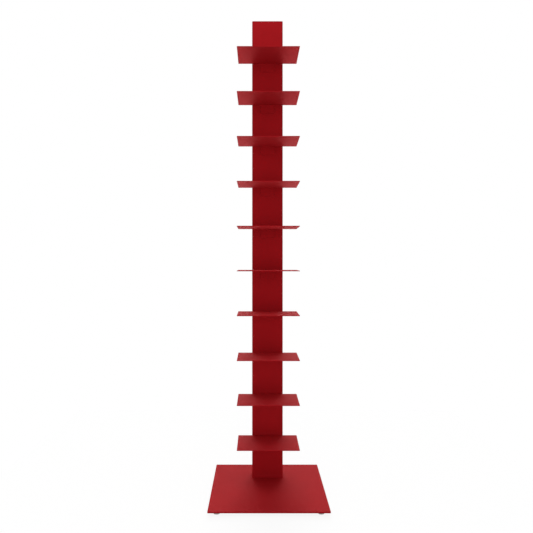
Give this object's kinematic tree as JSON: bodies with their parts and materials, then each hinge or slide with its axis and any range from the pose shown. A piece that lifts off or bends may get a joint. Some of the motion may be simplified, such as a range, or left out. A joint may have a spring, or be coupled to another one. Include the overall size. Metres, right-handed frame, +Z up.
{
  "type": "spine bookshelf",
  "caption": "Tall narrow free-standing bookcase: a steel column on a square base plate carries thin lift-off shelves at its front, and stands on levelling feet.",
  "frame": {"origin": "on the floor under the centre of the base plate, which is the bottom centre of the bounding box", "axes": "+Z up, -Y towards the front where the shelves are, +X to the right as seen from the front"},
  "size_m": [0.35, 0.35, 1.508],
  "materials": {
    "red_powder_coat": "satin powder coat",
    "zinc_steel": "zinc plated",
    "pale_plastic": "moulded, satin"
  },
  "bodies": {
    "column_and_base": {"base_plate": "red_powder_coat", "column_tube": "red_powder_coat", "column_foot_plate": "red_powder_coat", "column_top_cap": "red_powder_coat", "base_bolt_1": "zinc_steel", "base_bolt_2": "zinc_steel", "base_bolt_3": "zinc_steel", "base_bolt_4": "zinc_steel", "base_washer_1": "zinc_steel", "base_washer_2": "zinc_steel", "base_washer_3": "zinc_steel", "base_washer_4": "zinc_steel", "foot_nut_1": "red_powder_coat", "foot_nut_2": "red_powder_coat", "foot_nut_3": "red_powder_coat", "foot_nut_4": "red_powder_coat"},
    "lifting_shelf_1": {"shelf_1": "red_powder_coat", "shelf_1_hook_left": "red_powder_coat", "shelf_1_hook_right": "red_powder_coat"},
    "lifting_shelf_2": {"shelf_2": "red_powder_coat", "shelf_2_hook_left": "red_powder_coat", "shelf_2_hook_right": "red_powder_coat"},
    "lifting_shelf_3": {"shelf_3": "red_powder_coat", "shelf_3_hook_left": "red_powder_coat", "shelf_3_hook_right": "red_powder_coat"},
    "lifting_shelf_4": {"shelf_4": "red_powder_coat", "shelf_4_hook_left": "red_powder_coat", "shelf_4_hook_right": "red_powder_coat"},
    "lifting_shelf_5": {"shelf_5": "red_powder_coat", "shelf_5_hook_left": "red_powder_coat", "shelf_5_hook_right": "red_powder_coat"},
    "lifting_shelf_6": {"shelf_6": "red_powder_coat", "shelf_6_hook_left": "red_powder_coat", "shelf_6_hook_right": "red_powder_coat"},
    "lifting_shelf_7": {"shelf_7": "red_powder_coat", "shelf_7_hook_left": "red_powder_coat", "shelf_7_hook_right": "red_powder_coat"},
    "lifting_shelf_8": {"shelf_8": "red_powder_coat", "shelf_8_hook_left": "red_powder_coat", "shelf_8_hook_right": "red_powder_coat"},
    "lifting_shelf_9": {"shelf_9": "red_powder_coat", "shelf_9_hook_left": "red_powder_coat", "shelf_9_hook_right": "red_powder_coat"},
    "lifting_shelf_10": {"shelf_10": "red_powder_coat", "shelf_10_hook_left": "red_powder_coat", "shelf_10_hook_right": "red_powder_coat"},
    "levelling_foot_1": {"foot_pad_1": "pale_plastic", "foot_stud_1": "zinc_steel"},
    "levelling_foot_2": {"foot_pad_2": "pale_plastic", "foot_stud_2": "zinc_steel"},
    "levelling_foot_3": {"foot_pad_3": "pale_plastic", "foot_stud_3": "zinc_steel"},
    "levelling_foot_4": {"foot_pad_4": "pale_plastic", "foot_stud_4": "zinc_steel"}
  },
  "joints": [
    {"name": "shelf_1_lift", "type": "slide", "parent": "column_and_base", "child": "lifting_shelf_1", "axis": [0, 0, 1], "range_m": [0, 0.008]},
    {"name": "shelf_2_lift", "type": "slide", "parent": "column_and_base", "child": "lifting_shelf_2", "axis": [0, 0, 1], "range_m": [0, 0.008]},
    {"name": "shelf_3_lift", "type": "slide", "parent": "column_and_base", "child": "lifting_shelf_3", "axis": [0, 0, 1], "range_m": [0, 0.008]},
    {"name": "shelf_4_lift", "type": "slide", "parent": "column_and_base", "child": "lifting_shelf_4", "axis": [0, 0, 1], "range_m": [0, 0.008]},
    {"name": "shelf_5_lift", "type": "slide", "parent": "column_and_base", "child": "lifting_shelf_5", "axis": [0, 0, 1], "range_m": [0, 0.008]},
    {"name": "shelf_6_lift", "type": "slide", "parent": "column_and_base", "child": "lifting_shelf_6", "axis": [0, 0, 1], "range_m": [0, 0.008]},
    {"name": "shelf_7_lift", "type": "slide", "parent": "column_and_base", "child": "lifting_shelf_7", "axis": [0, 0, 1], "range_m": [0, 0.008]},
    {"name": "shelf_8_lift", "type": "slide", "parent": "column_and_base", "child": "lifting_shelf_8", "axis": [0, 0, 1], "range_m": [0, 0.008]},
    {"name": "shelf_9_lift", "type": "slide", "parent": "column_and_base", "child": "lifting_shelf_9", "axis": [0, 0, 1], "range_m": [0, 0.008]},
    {"name": "shelf_10_lift", "type": "slide", "parent": "column_and_base", "child": "lifting_shelf_10", "axis": [0, 0, 1], "range_m": [0, 0.008]},
    {"name": "foot_1_level", "type": "slide", "parent": "column_and_base", "child": "levelling_foot_1", "axis": [0, 0, -1], "range_m": [0, 0.004]},
    {"name": "foot_2_level", "type": "slide", "parent": "column_and_base", "child": "levelling_foot_2", "axis": [0, 0, -1], "range_m": [0, 0.004]},
    {"name": "foot_3_level", "type": "slide", "parent": "column_and_base", "child": "levelling_foot_3", "axis": [0, 0, -1], "range_m": [0, 0.004]},
    {"name": "foot_4_level", "type": "slide", "parent": "column_and_base", "child": "levelling_foot_4", "axis": [0, 0, -1], "range_m": [0, 0.004]}
  ]
}
